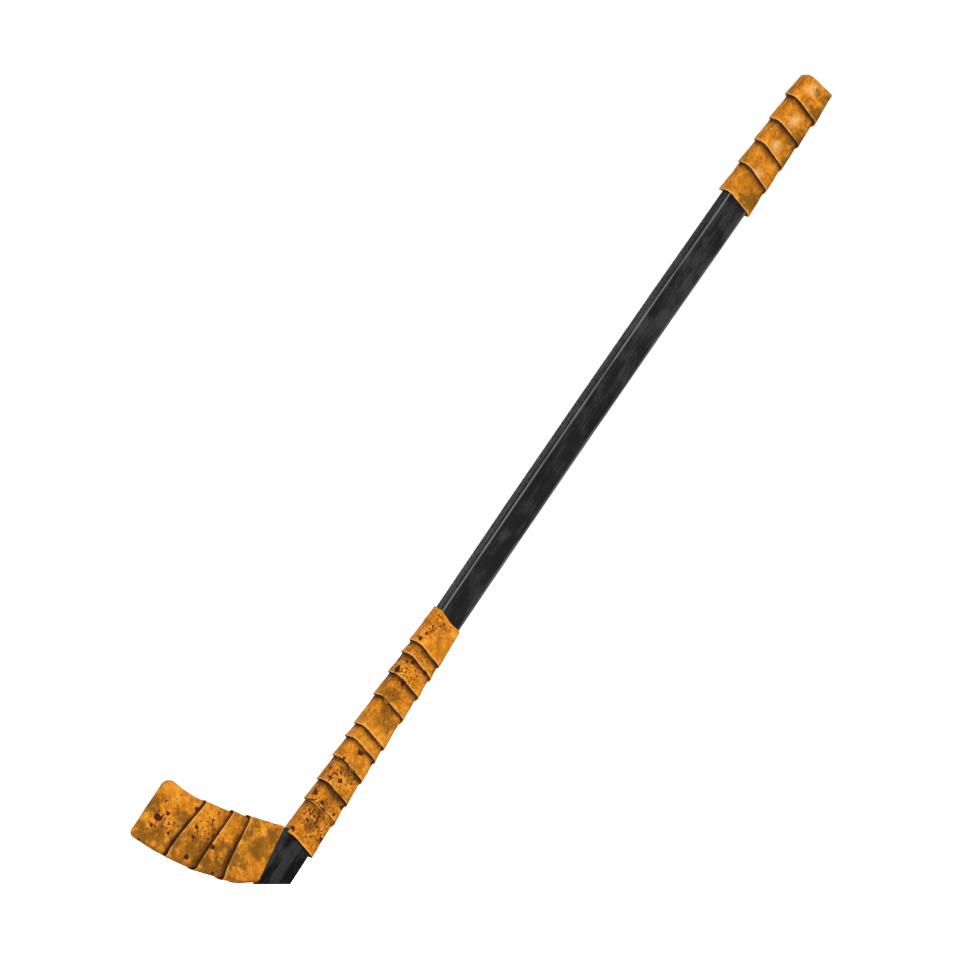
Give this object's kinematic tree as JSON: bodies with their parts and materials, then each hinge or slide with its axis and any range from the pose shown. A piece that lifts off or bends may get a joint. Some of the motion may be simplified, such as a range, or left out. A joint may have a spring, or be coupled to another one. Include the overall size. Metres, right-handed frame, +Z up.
{
  "type": "ice hockey stick",
  "caption": "Wooden ice hockey stick: a laminated shaft with a tongue-jointed, curved blade, and cloth tape wound on the grip, lower shaft and blade.",
  "frame": {"origin": "where the shaft's centreline meets the ice, in the middle of the heel's flat end", "axes": "+Z up from the ice, -X towards the toe of the blade, the shaft leans to +X, -Y is the side the forehand face looks to"},
  "size_m": [0.826, 0.0331, 0.8243],
  "materials": {
    "lacquered_wood": "worn satin black lacquer",
    "fibreglass": "black resin-bonded glass cloth",
    "cloth_tape": "orange woven cotton tape, used"
  },
  "bodies": {
    "root": {"shaft_centre_ply": "lacquered_wood", "forehand_cheek": "lacquered_wood", "backhand_cheek": "lacquered_wood", "forehand_veneer": "lacquered_wood", "backhand_veneer": "lacquered_wood", "blade_core": "lacquered_wood", "blade_forehand_skin": "fibreglass", "blade_backhand_skin": "fibreglass", "knob_tape": "cloth_tape", "grip_tape": "cloth_tape", "shaft_tape": "cloth_tape", "blade_tape": "cloth_tape"}
  },
  "joints": []
}
